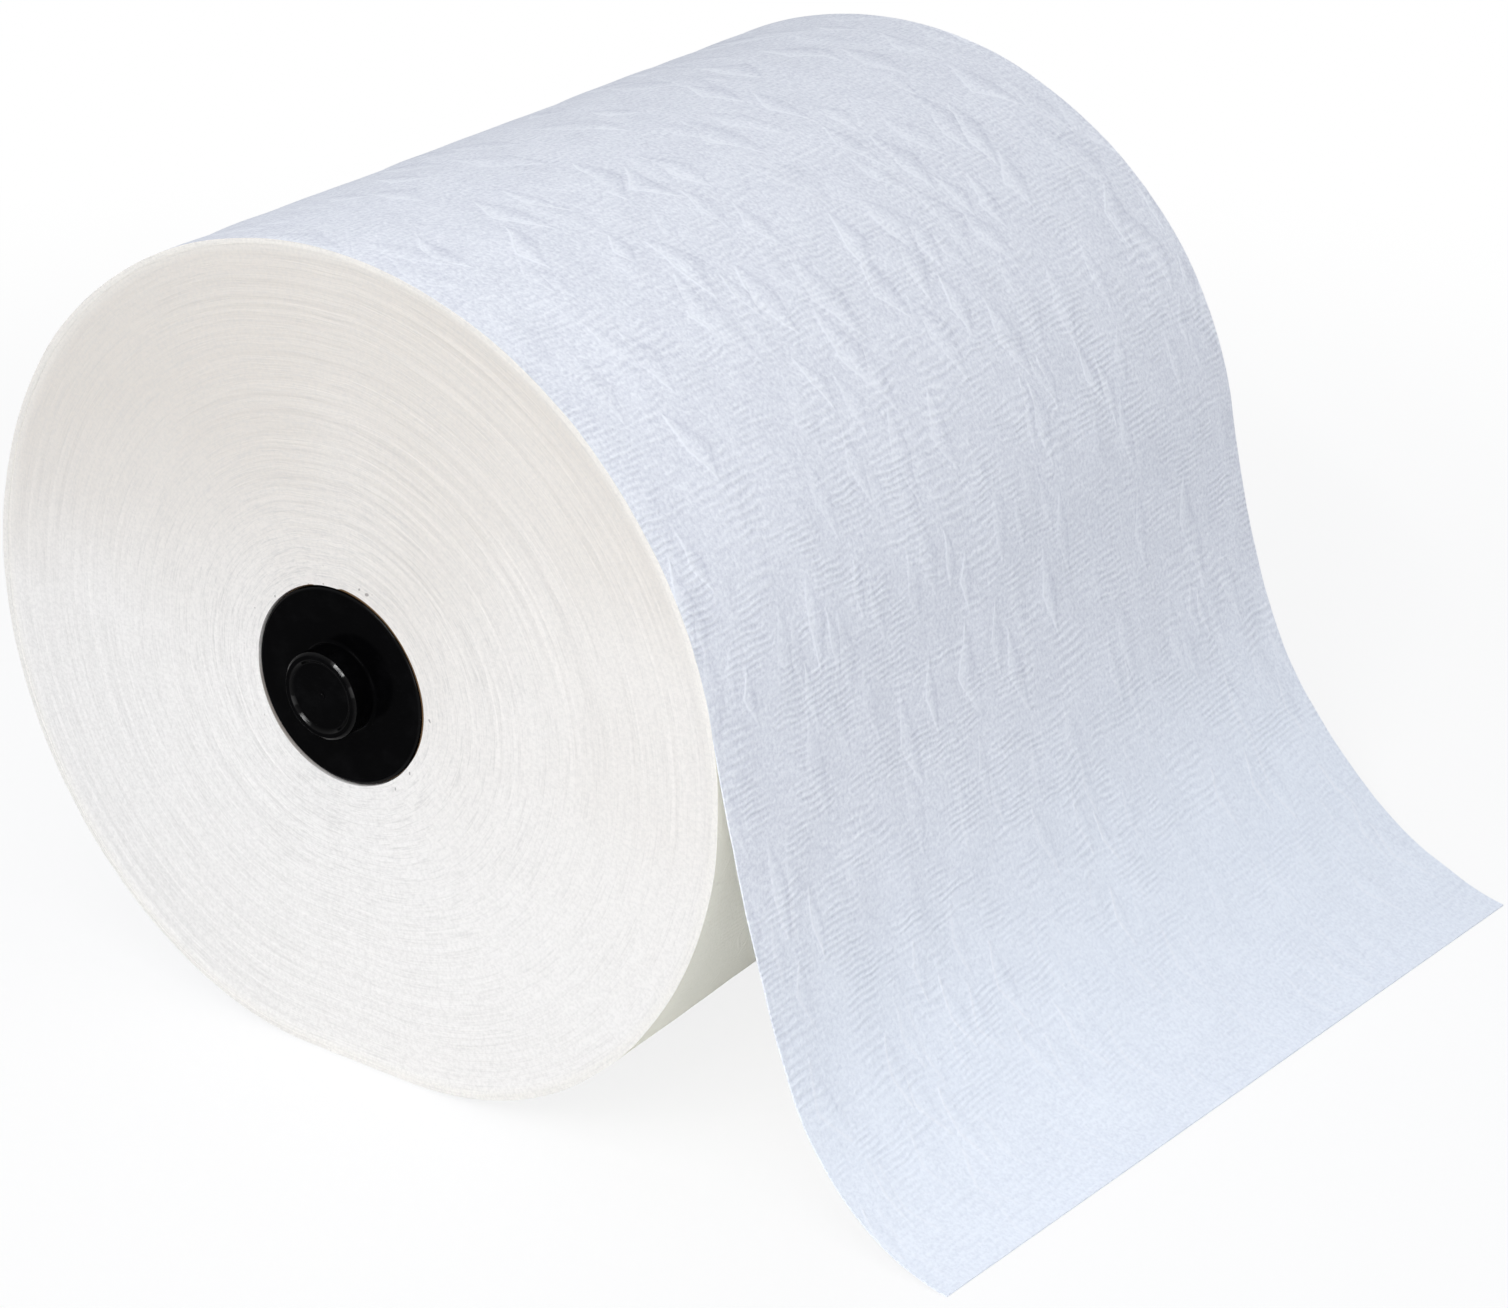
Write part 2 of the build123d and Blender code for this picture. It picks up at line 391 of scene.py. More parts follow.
def makeTowelPaper():
    # the creased lozenges with painted lit and shaded sides, painted highlight lines and painted shade lines, crepe
    # ribs that repeat along the web, fibres over both, painted sky light on the free end and painted warm bounce
    # light below it
    look = towelLook
    material, tree, shader = newMaterial("towelPaper")
    place = readAttribute(tree, "webCoord")  # metres along the web and across it
    along = splitVector(tree, place)[0]
    edge, lean, strength = makeCreases(tree, place, along)
    near = mapSmooth(tree, calc(tree, "ABSOLUTE", edge), 0.0, look["creaseWidth"], 1.0, 0.0)
    line = product(tree, near, strength)
    # painted highlight: the crease line, full on its front side that faces the lamps and weak on the rear; it also
    # raises the bump
    litCreaseLine = product(tree, line, mapSmooth(tree, lean, *look["brightSide"]))
    # painted shade: a darker line along the crease's rear side, which faces away from the lamps
    dark = product(tree, line, mapSmooth(tree, lean, *look["darkSide"]))
    inside = product(tree, mapSmooth(tree, edge, *look["creaseInside"]), strength)
    # painted shade: each lozenge's front side, which faces the lamps, is painted lighter, and its rear side darker
    paintedSideShade = product(tree, lean, inside, -1.0)
    depth = calc(tree, "MAXIMUM", edge, 0.0)
    dome = product(tree, depth, calc(tree, "ADD", calc(tree, "ABSOLUTE", lean), 1.0), strength, look["creaseRise"])
    rib = makeRibs(tree, place, along)
    crepe = noise(tree, vectorCalc(tree, "MULTIPLY", place, look["crepeStroke"]), 1.0, detail=1.0)
    fibre, mottle = grain(tree, place, look["fibresPerMetre"])
    # painted sky light: the free end is painted lighter and cooler, as if lit by the sky
    free = mapSmooth(tree, along, *look["freeRun"])
    heights = {"creaseHeight": litCreaseLine, "ribHeight": rib, "crepeHeight": crepe, "fibreHeight": fibre}
    height = weighted(tree, dome, *[(value, look[name]) for name, value in heights.items()])
    tones = {
        "fibreTone": fibre, "ribTone": rib, "facingTone": paintedSideShade, "darkTone": dark,
        "crepeTone": crepe, "mottleTone": mottle, "freeTone": free,
    }
    tone = weighted(tree, look["toneStart"], *[(value, look[name]) for name, value in tones.items()])
    colour = mixColour(tree, tone, look["shade"], look["light"])
    # painted sky light colour on the free end
    colour = mixColour(tree, product(tree, free, look["freeShare"]), colour, look["freeColour"])
    # painted highlight on the crease lines
    colour = mixColour(tree, product(tree, litCreaseLine, look["brightShare"]), colour, look["creaseColour"])
    # painted bounce light: the last part of the turn, below the free end, is painted warm and lighter
    colour = mixColour(tree, mapSmooth(tree, along, *look["coveredRun"]), colour, look["coveredColour"])
    finishSurface(tree, shader, colour, mapSmooth(tree, fibre, *look["roughness"]), height)
    shader.inputs["Specular IOR Level"].default_value = look["specular"]
    return material


# The cut edges of the turns, seen on both ends of the roll

turnsLook = {
    "colour": (0.875, 0.855, 0.829, 1.0),
    "dullColour": (0.718, 0.673, 0.617, 1.0),  # random blotches, and painted shade towards the top, the free end's side and the upper corner away from it
    "lineColour": (0.60, 0.585, 0.565, 1.0),
    "rimColour": (0.875, 0.848, 0.792, 1.0),  # the last few turns
    "glueColour": (0.13, 0.075, 0.035, 1.0),  # the first turn, stuck to the board, with painted shade at the bore's edge
    "speckColour": (0.12, 0.10, 0.09, 1.0),
    # lines: cells to a millimetre out from the bore, then to a unit of the direction round the axis
    "fineCells": (2.3, 5.0, 5.0),
    "mediumCells": (1.4, 2.6, 2.6),
    "lines": (0.50, 0.68),
    "bands": (0.56, 0.72),
    "bandShare": 0.25,
    "score": (0.0, 0.035, 1.0, 0.0),  # thin lines along the medium noise's middle value
    "scoreSide": (-0.4, 0.9, 0.2, 0.8),  # stronger on the upper side
    "nearCore": (0.0, 45.0, 1.0, 0.5),  # millimetres out, where the lines are strong and where they are weak
    "fibres": (0.35, 0.70),
    "fibreShare": 0.85,
    "lineShare": 0.36,
    # random blotches with painted shade over them: growth per metre to the side, upwards, and in the upper corner
    # away from the free end
    "dullAside": 2.0,
    "dullUp": 10.0,
    "dullCorner": -180.0,
    "dullsPerMetre": 14.0,
    "dull": (1.05, 2.4),
    "rim": (71.0, 75.0, 0.0, 0.7),  # millimetres out from the bore
    "specksPerMetre": 800.0,
    "speck": (0.81, 0.86),
    "speckReach": (1.0, 6.5, 0.6, 0.0),  # millimetres out from the bore
    "glueSide": (-0.6, -0.8),  # direction in which the glued first turn and its painted shade reach furthest, the lower left
    "glueReach": (0.3, 0.9, 0.1, 0.5),  # millimetres, away from that side and on it
    "lineHeight": 0.10,  # millimetres, as the next one
    "fibreHeight": 0.05,
    "fibresPerMetre": 1300.0,
    "roughness": (0.2, 0.8, 0.86, 0.97),
    "specular": 0.15,
}


def makeCutTurns():
    # noise that runs fast across the turns and slowly round them draws the edges of the turns
    look = turnsLook
    material, tree, shader = newMaterial("cutTurns")
    place = readPlace(tree)
    turn = readAttribute(tree, "turnCoord")  # millimetres out from the bore, then the direction round the axis
    out, besideAxis, aboveAxis = splitVector(tree, turn)
    fine = noise(tree, vectorCalc(tree, "MULTIPLY", turn, look["fineCells"]), 1.0, roughness=0.6)
    medium = noise(tree, vectorCalc(tree, "MULTIPLY", turn, look["mediumCells"]), 1.0)
    fibre, mottle = grain(tree, place, look["fibresPerMetre"])
    lines = mapSmooth(tree, fine, *look["lines"])
    lines = weighted(tree, lines, (mapSmooth(tree, medium, *look["bands"]), look["bandShare"]))
    contour = calc(tree, "ABSOLUTE", calc(tree, "SUBTRACT", medium, 0.5))
    score = mapSmooth(tree, contour, *look["score"])
    lines = weighted(tree, lines, (score, mapSmooth(tree, aboveAxis, *look["scoreSide"])))
    lines = product(tree, lines, mapSmooth(tree, out, *look["nearCore"]))
    lines = weighted(tree, lines, (mapSmooth(tree, fibre, *look["fibres"]), look["fibreShare"]))
    parts = splitVector(tree, place)
    aside, up = parts[0], parts[2]
    # painted shade: the end is darker towards the top, towards the free end's side and in the upper corner away from
    # it, over random blotches
    above = calc(tree, "MAXIMUM", calc(tree, "SUBTRACT", up, axisHeight), 0.0)
    away = product(tree, calc(tree, "MINIMUM", aside, 0.0), look["dullCorner"])
    dull = noise(tree, place, look["dullsPerMetre"])
    dull = weighted(tree, dull, (aside, look["dullAside"]), (up, look["dullUp"]), (above, away))
    colour = mixColour(tree, mapSmooth(tree, dull, *look["dull"]), look["colour"], look["dullColour"])
    colour = mixColour(tree, mapSmooth(tree, out, *look["rim"]), colour, look["rimColour"])
    colour = mixColour(tree, product(tree, lines, look["lineShare"]), colour, look["lineColour"])
    speck = mapSmooth(tree, noise(tree, place, look["specksPerMetre"], detail=0.0), *look["speck"])
    speck = product(tree, speck, mapSmooth(tree, out, *look["speckReach"]))
    colour = mixColour(tree, speck, colour, look["speckColour"])
    # the glued first turn at the bore, darkened further as painted shade that reaches furthest towards the lower left
    sideX, sideZ = look["glueSide"]
    glueSide = calc(tree, "MULTIPLY_ADD", besideAxis, sideX, product(tree, aboveAxis, sideZ))
    glueAndShade = mapSmooth(tree, out, 0.0, mapSmooth(tree, glueSide, *look["glueReach"]), 1.0, 0.0)
    colour = mixColour(tree, glueAndShade, colour, look["glueColour"])
    height = product(tree, fine, look["lineHeight"])
    height = weighted(tree, height, (medium, look["lineHeight"]), (fibre, look["fibreHeight"]))
    finishSurface(tree, shader, colour, mapSmooth(tree, mottle, *look["roughness"]), height)
    shader.inputs["Specular IOR Level"].default_value = look["specular"]
    return material


# The board of the core

boardLook = {
    "colour": (0.42, 0.28, 0.17, 1.0),
    "dark": (0.30, 0.19, 0.11, 1.0),
    "fibreHeight": 0.06,  # millimetres
    "fibresPerMetre": 900.0,
    "roughness": (0.2, 0.8, 0.75, 0.92),
}


def makeKraftBoard():
    # two browns mixed by the mottle, under fibres
    look = boardLook
    material, tree, shader = newMaterial("kraftBoard")
    fibre, mottle = grain(tree, readPlace(tree), look["fibresPerMetre"])
    colour = mixColour(tree, mottle, look["dark"], look["colour"])
    height = product(tree, fibre, look["fibreHeight"])
    finishSurface(tree, shader, colour, mapSmooth(tree, fibre, *look["roughness"]), height)
    return material


# The plugs' glossy black plastic

plasticLook = {
    "colour": (0.0012, 0.0012, 0.0014, 1.0),
    "scuffColour": (0.0028, 0.0028, 0.0031, 1.0),
    "scuffsPerMetre": 160.0,
    "scuff": (0.45, 0.75),
    "peelHeight": 0.006,  # millimetres
    "peelsPerMetre": 420.0,
    "roughness": (0.3, 0.75, 0.12, 0.20),
    "polishRoughness": 0.075,
    "specular": 0.01,
}


def makeMouldedBlack():
    # black with faint scuffs and a fine peel, and a coat where the rims are polished
    look = plasticLook
    material, tree, shader = newMaterial("mouldedBlack")
    place = readPlace(tree)
    peel = noise(tree, place, look["peelsPerMetre"], detail=1.0)
    scuff = noise(tree, place, look["scuffsPerMetre"], detail=4.0, roughness=0.7)
    colour = mixColour(tree, mapSmooth(tree, scuff, *look["scuff"]), look["colour"], look["scuffColour"])
    height = product(tree, peel, look["peelHeight"])
    finishSurface(tree, shader, colour, mapSmooth(tree, scuff, *look["roughness"]), height)
    tree.links.new(splitVector(tree, readAttribute(tree, "rimPolish"))[0], shader.inputs["Coat Weight"])
    shader.inputs["Coat Roughness"].default_value = look["polishRoughness"]
    shader.inputs["Specular IOR Level"].default_value = look["specular"]
    return material


towelPaper = makeTowelPaper()
cutTurns = makeCutTurns()
kraftBoard = makeKraftBoard()
mouldedBlack = makeMouldedBlack()
print("materials made")


# The settled turns

roll = {
    "bore": 0.0224,  # the wound web's inner radius
    "restSag": 0.0063,  # how far the underside has settled
    "topSag": 0.0012,
    "sideEase": 0.0020,
    "flatWidth": 0.0280,
}
rollRadius = axisHeight + roll["restSag"]


def turnRadius(nominal, angle):
    # distance from the axis to a settled turn, where a ray meets its top arc, its side arc, its low arc or its flat
    settled = (nominal - roll["bore"]) / (rollRadius - roll["bore"])
    settled = np.maximum(settled, 0.001)  # keeps the arcs apart at the bore
    ease = roll["sideEase"] * settled
    halfFlat = roll["flatWidth"] / 2 * settled
    side = nominal - ease
    top = nominal - roll["topSag"] * settled
    bottom = nominal - roll["restSag"] * settled
    topArc = (ease**2 + top**2 - side**2) / (2 * (top - side))
    lowArc = ((halfFlat - ease) ** 2 + bottom**2 - side**2) / (2 * (bottom - side))
    topTurn = np.arctan2(topArc - top, ease)
    lowTurn = np.arctan2(bottom - lowArc, halfFlat - ease)
    outX = np.abs(np.cos(angle))
    outZ = np.sin(angle)
    heading = np.arctan2(outZ, outX)

    def rayToArc(centreX, centreZ, arc):
        # along the ray to the foot of the centre, then on by the half chord
        along = centreX * outX + centreZ * outZ
        return along + np.sqrt(along**2 - centreX**2 - centreZ**2 + arc**2)

    lowStart = np.arctan2(-bottom, halfFlat)
    sideStart = np.arctan2(-side * np.sin(lowTurn), ease + side * np.cos(lowTurn))
    topStart = np.arctan2(side * np.sin(topTurn), ease + side * np.cos(topTurn))
    reach = bottom / np.maximum(-outZ, 0.1)  # the flat, which only steep rays meet
    reach = np.where(heading > lowStart, rayToArc(halfFlat, lowArc - bottom, lowArc), reach)
    reach = np.where(heading > sideStart, rayToArc(ease, 0.0, side), reach)
    return np.where(heading > topStart, rayToArc(0.0, top - topArc, topArc), reach)


# The free end of the web

freeEnd = {
    "thickness": 0.00035,
    "leaveAngle": 10.25,  # degrees up the roll's side, where the web leaves it
    "slopes": (70.9, 43.6, 10.5),  # degrees below level after each bend
    "near": (0.0323, 0.0545),  # past the roll's side, where the curl on the floor starts and ends
    "far": (0.0415, 0.0778),
}
leave = math.radians(freeEnd["leaveAngle"])
slopes = [math.pi / 2 - leave] + [math.radians(slope) for slope in freeEnd["slopes"]]
sideRadius = rollRadius - roll["sideEase"]
leaveX = roll["sideEase"] + sideRadius * math.cos(leave)
leaveZ = sideRadius * math.sin(leave)


def sheetEdge(edge, bend):
    # three tangent arcs from the roll to the floor; bend counts them, and gives across, up and length run
    falls = [math.cos(below) - math.cos(above) for above, below in zip(slopes, slopes[1:])]
    runs = [math.sin(above) - math.sin(below) for above, below in zip(slopes, slopes[1:])]
    curlStart, curlEnd = freeEnd[edge]
    curl = (curlEnd - curlStart) / runs[2]
    drop = leaveZ + axisHeight - freeEnd["thickness"] * math.cos(slopes[3]) - curl * falls[2]
    run = rollRadius + curlStart - leaveX
    skew = falls[0] * runs[1] - falls[1] * runs[0]
    radii = [(drop * runs[1] - run * falls[1]) / skew, (run * falls[0] - drop * runs[0]) / skew, curl]
    across, up, length = leaveX, leaveZ, 0.0
    for number, radius in enumerate(radii):
        sweep = (slopes[number] - slopes[number + 1]) * np.clip(bend - number, 0.0, 1.0)
        across = across + radius * (math.sin(slopes[number]) - np.sin(slopes[number] - sweep))
        up = up + radius * (math.cos(slopes[number]) - np.cos(slopes[number] - sweep))
        length = length + radius * sweep
    return across, up, length


# The outer turn with the free end, as one closed sheet

web = {
    "tailColumns": 84,
    "turnColumns": 420,
    "rows": 146,
    "shell": 0.0015,  # depth of the turns that this piece stands for
    "bendSteps": 1000,  # for each bend, to space the columns evenly
    # height of each form, its cells along and across the web, and its seed
    "pillow": (0.00018, 0.013, 0.009, 41),
    "wave": (0.00035, 0.075, 0.060, 42),
    "tailWave": (0.0009, 0.055, 0.085, 51),
    "edgeJitter": (0.00012, 0.006, 0.1, 61),
    "tailRun": (-0.02, -0.07),  # metres along, where the free end's own wave starts and is full
    "floorFade": (0.0002, 0.006),  # metres above the floor, where the forms start and are full
    "crevice": 6.0,  # columns beside the leaving line over which they die away
    "sharpAngle": 40,
}


def webForm(name, along, across):
    # lattice noise in cells of the form's own length and width, times its height
    height, long, wide, seed = web[name]
    return height * latticeNoise(along / long, across / wide, seed)


def tailGrid(tail, share):
    # the free end in even steps along its middle: a straight line from the near edge to the far one at each step
    steps = np.linspace(0.0, 3.0, 3 * web["bendSteps"] + 1)
    middle = (sheetEdge("near", steps)[2] + sheetEdge("far", steps)[2]) / 2
    bend = np.interp(np.linspace(0.0, middle[-1], tail + 1), middle, steps)[:, None]
    near, far = sheetEdge("near", bend), sheetEdge("far", bend)
    slope = np.interp(bend, [0, 1, 2, 3], slopes) + 0 * share
    normal = np.sin(slope), np.cos(slope)
    return [first * (1 - share) + second * share for first, second in zip(near, far)], normal


def webFaces(tail, turn, rows):
    # quads of the skin's grid, which closes round the free end's edge, then at both ends the free end's side and the
    # cut strip from the turn to the inner ring, then the inner wall
    columns = 2 * tail + turn + 1

    def skinPoint(column, row):
        # points are numbered along each column in turn
        return column * (rows + 1) + row

    column, row = np.meshgrid(np.arange(columns), np.arange(rows), indexing="ij")
    after = (column + 1) % columns
    corners = [skinPoint(column, row), skinPoint(column, row + 1), skinPoint(after, row + 1), skinPoint(after, row)]
    paper = np.stack(corners, -1).reshape(-1, 4).tolist()
    cut = []
    ring = columns * (rows + 1)
    for base, endRow in ((ring, 0), (ring + turn, rows)):
        j = np.arange(tail)
        outside = [skinPoint(j, endRow), skinPoint(j + 1, endRow)]
        inside = [skinPoint(columns - 2 - j, endRow), skinPoint(columns - 1 - j, endRow)]
        paper += np.stack(outside + inside, -1).tolist()
        k = np.arange(1, turn)
        outside = [skinPoint(tail + k, endRow), skinPoint(tail + k + 1, endRow)]
        cut += np.stack(outside + [base + (k + 1) % turn, base + k], -1).tolist()
        start = [skinPoint(tail, endRow), skinPoint(tail + 1, endRow)]
        cut.append(start + [base + 1, base, skinPoint(tail + turn, endRow)])  # where the turn meets itself
    k = np.arange(turn)
    after = (k + 1) % turn
    wall = np.stack([ring + k, ring + after, ring + turn + after, ring + turn + k], -1)
    return paper, cut + wall.tolist()


def makeOuterWeb():
    # in along the free end's outer side, once round the roll and out along its inner side, moved along the normals
    tail, turn, rows = web["tailColumns"], web["turnColumns"], web["rows"]
    thickness = freeEnd["thickness"]
    across = np.linspace(-halfWeb, halfWeb, rows + 1)
    share = np.linspace(0.0, 1.0, rows + 1)[None, :]  # from the front edge to the rear one
    (tailX, tailZ, tailRun), (tailOutX, tailOutZ) = tailGrid(tail, share)
    # the turn goes once round from the leaving line and ends one thickness further in
    angle = math.atan2(leaveZ, leaveX) + np.linspace(0.0, fullTurn, turn + 1)
    reach = turnRadius(rollRadius - np.linspace(0.0, thickness, turn + 1), angle)
    turnX, turnZ = reach * np.cos(angle), reach * np.sin(angle)
    turnRun = np.concatenate([[0.0], np.cumsum(np.hypot(np.diff(turnX), np.diff(turnZ)))])

    def chain(outerTail, turnValues, innerTail):
        # columns from the free end's edge in, round the turn, and out to the edge again
        return np.concatenate([outerTail[:0:-1], turnValues[:, None] * np.ones_like(share), innerTail[1:]])

    outX = chain(tailX, turnX, tailX - thickness * tailOutX)
    outZ = chain(tailZ, turnZ, tailZ - thickness * tailOutZ)
    normalX = chain(tailOutX, np.cos(angle), tailOutX)
    normalZ = chain(tailOutZ, np.sin(angle), tailOutZ)
    along = chain(-tailRun, turnRun, -tailRun)
    wide = np.broadcast_to(across[None, :], along.shape)
    relief = webForm("pillow", along, wide) + webForm("wave", along, wide)
    relief = relief + webForm("tailWave", along, wide) * smoothStep(*web["tailRun"], along)
    # the relief dies away on the flat spot, at the floor and where the turn runs under the free end
    column = np.arange(len(along))[:, None]
    crevice = np.abs(column - (tail + turn)) / web["crevice"]
    relief = relief * smoothStep(*web["floorFade"], outZ + axisHeight) * smoothStep(0.0, 1.0, crevice)
    outX = outX + relief * normalX
    outZ = np.maximum(outZ + relief * normalZ, -axisHeight)
    jitter = np.abs(webForm("edgeJitter", along, wide))
    atEdge = np.abs(wide) / halfWeb > 0.9999
    outY = wide - np.sign(wide) * np.where(atEdge, jitter, 0.0)
    skin = np.stack([outX, outY, outZ + axisHeight], -1).reshape(-1, 3)
    # inner rings, one at each end, close the shell
    ringAngle = angle[:-1]
    ringReach = turnRadius(rollRadius - web["shell"], ringAngle)
    ring = np.stack([ringReach * np.cos(ringAngle), 0 * ringAngle, ringReach * np.sin(ringAngle) + axisHeight], -1)
    rings = np.concatenate([ring - (0, halfWeb, 0), ring + (0, halfWeb, 0)])
    points = np.concatenate([skin, rings])
    paper, cut = webFaces(tail, turn, rows)
    piece = makePiece("outer_web", points.tolist(), paper + cut, [towelPaper, cutTurns], web["sharpAngle"])
    piece.data.polygons.foreach_set("material_index", np.repeat([0, 1], [len(paper), len(cut)]).astype(np.int32))
    coords = np.stack([along, wide, 0 * along], -1).reshape(-1, 3)
    addVectors(piece, "webCoord", np.concatenate([coords, 0 * rings]))
    bearing = np.arctan2(points[:, 2] - axisHeight, points[:, 0])
    fromBore = np.full(len(points), (rollRadius - roll["bore"]) / millimetre)
    fromBore[len(skin):] -= web["shell"] / millimetre
    addVectors(piece, "turnCoord", np.stack([fromBore, np.cos(bearing), np.sin(bearing)], -1))
    return piece


outerWeb = makeOuterWeb()
print("outer web made:", len(outerWeb.data.polygons), "faces")


# The wound turns inside it, one half of the roll's length at each end

turns = {
    "rings": 160,
    "round": 360,
    "bundleDepth": 0.00012,
    "lineDepth": 0.00016,
    "bundles": (11.0, 3),  # cells from the bore to the rim, and round the axis
    "groups": (0.0021, 7, 0.25),  # metres to a cell outwards, cells round the axis, and share of the lines' depth
    "singles": (0.0009, 11, 0.7),
    "wander": (0.02, 5, 0.0006),  # metres to a cell, cells round, and metres that a turn strays
    "kinks": ((86, 0.02, 0.0002), (104, 0.03, -0.0002)),  # degrees round, spread in radians, and metres of the step
    "rimRecess": 0.00008,
    "rimWidth": 0.003,
    "tuck": 0.0003,  # how far they reach under the outer web's cut strip
    "seed": 70,
    "rearSeed": 170,
    "sharpAngle": 40,
}


def roundNoise(cells, angle, around, seed):
    # lattice noise that closes after so many cells round the axis
    return latticeNoise(cells, angle / fullTurn * around, seed, wrap=around)


def turnLines(out, angle, seed):
    # depth of the cut edges: bundles of turns, then finer groups that hold their height for part of the way round
    bundleCells, bundleRound = turns["bundles"]
    groupCell, groupRound, groupShare = turns["groups"]
    singleCell, singleRound, singleShare = turns["singles"]
    bundle = roundNoise(out / (rollRadius - roll["bore"]) * bundleCells, angle, bundleRound, seed)
    group = roundNoise(out / groupCell, angle, groupRound, seed + 1)
    single = roundNoise(out / singleCell, angle, singleRound, seed + 2)
    return turns["bundleDepth"] * bundle + turns["lineDepth"] * (groupShare * group + singleShare * single)


def makeTurns(name, end, seed):
    # rings from the bore to the rim at the depth of their lines, then two more at mid length that close the half roll
    angle = np.linspace(0.0, fullTurn, turns["round"], endpoint=False)[None, :]
    outer = rollRadius - web["shell"] + turns["tuck"]
    nominal = np.linspace(roll["bore"], outer, turns["rings"] + 1)[:, None] + 0 * angle
    out = nominal - roll["bore"]
    # turns that were wound with a slight kink cross over a few bearings
    wanderCell, wanderRound, wanderReach = turns["wander"]
    stray = wanderReach * roundNoise(out / wanderCell, angle, wanderRound, seed + 5)
    for at, spread, step in turns["kinks"]:
        stray = stray + step * np.tanh((angle - math.radians(at)) / spread)
    rim = smoothStep(0.0, turns["rimWidth"], outer - nominal)
    lines = turns["bundleDepth"] + turns["lineDepth"] + turnLines(out + stray, angle, seed)
    depth = np.concatenate([turns["rimRecess"] + rim * lines, np.full((2, turns["round"]), halfWeb)])
    loop = np.concatenate([nominal, nominal[-1:], nominal[:1]])
    reach = turnRadius(loop, angle)
    points = np.stack([reach * np.cos(angle), end * (halfWeb - depth), reach * np.sin(angle) + axisHeight], -1)
    faces = wrapGrid(len(loop), turns["round"]).tolist()
    piece = makePiece(name, points.reshape(-1, 3).tolist(), faces, [cutTurns], turns["sharpAngle"])
    shift = np.concatenate([stray, np.zeros((2, turns["round"]))])
    fromBore = (loop - roll["bore"] + shift) / millimetre
    coords = np.stack([fromBore, np.cos(angle) + 0 * loop, np.sin(angle) + 0 * loop], -1)
    addVectors(piece, "turnCoord", coords.reshape(-1, 3))
    return piece


frontTurns = makeTurns("front_turns", -1, turns["seed"])
rearTurns = makeTurns("rear_turns", 1, turns["rearSeed"])
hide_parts("paper_roll")
print("turns made:", len(frontTurns.data.polygons), "and", len(rearTurns.data.polygons), "faces")


# The moulded plugs

plug = {
    "recess": 0.0003,
    "flangeRadius": 0.0220,
    "flangeThickness": 0.0018,
    "hubRadius": 0.0097,
    "hubStand": 0.0060,
    "rimBevel": 0.0006,
    "dishRadius": 0.0082,
    "dishDepth": 0.0008,
    "gateRadius": 0.0008,
    "gateHeight": 0.00025,
    "wall": 0.0016,
    "skirtRadius": 0.0198,
    "skirtLength": 0.0180,
    "ribs": 6,
    "ribWidth": 0.0014,
    "ribReach": 0.02035,
    "ribLead": 0.0020,
    "pin": 0.00005,  # a tiny ring round the axis, closed by a cap at the front and one at the back
    "round": 160,
    "cornerSteps": 5,
    "cornerHold": 0.25,  # share of a corner's setback to one more point on each straight side
    # polish at the start, the middle and the end of a corner
    "dull": (0, 0, 0),
    "edge": (0, 0.15, 0),
    "rise": (0, 0.02, 0.05),
    "fall": (0.20, 0.07, 0),
    "lip": (0.20, 0.28, 0),
    "sharpAngle": 50,
}


def plugCorners():
    # the half section: radius, height out from the web's end, corner radius and polish, from the dish to the back
    face = -plug["recess"]
    back = face - plug["flangeThickness"]
    stand = plug["hubStand"]
    floor = stand - plug["dishDepth"]
    gateTop = floor + plug["gateHeight"]
    ceiling = floor - plug["wall"]
    skirtEnd = back - plug["skirtLength"]
    skirt, hub, flange = plug["skirtRadius"], plug["hubRadius"], plug["flangeRadius"]
    innerSkirt, innerHub = skirt - plug["wall"], hub - plug["wall"]
    bevel = plug["rimBevel"]
    return [
        (plug["pin"], gateTop, 0.00001, "dull"),
        (plug["gateRadius"], gateTop, 0.0001, "edge"),
        (plug["gateRadius"], floor, 0.00005, "dull"),
        (plug["dishRadius"] - plug["dishDepth"], floor, 0.0005, "rise"),
        (plug["dishRadius"], stand, 0.0003, "fall"),
        (hub - bevel, stand, 0.0002, "rise"),
        (hub, stand - bevel, 0.0002, "lip"),
        (hub, face, 0.0007, "dull"),
        (flange, face, 0.0007, "edge"),
        (flange, back, 0.0002, "dull"),
        (skirt, back, 0.0002, "dull"),
        (skirt, skirtEnd, 0.0004, "dull"),
        (innerSkirt, skirtEnd, 0.0004, "dull"),
        (innerSkirt, back, 0.0004, "dull"),
        (innerHub, back, 0.0004, "dull"),
        (innerHub, ceiling, 0.0004, "dull"),
        (plug["pin"], ceiling, 0.00001, "dull"),
    ]


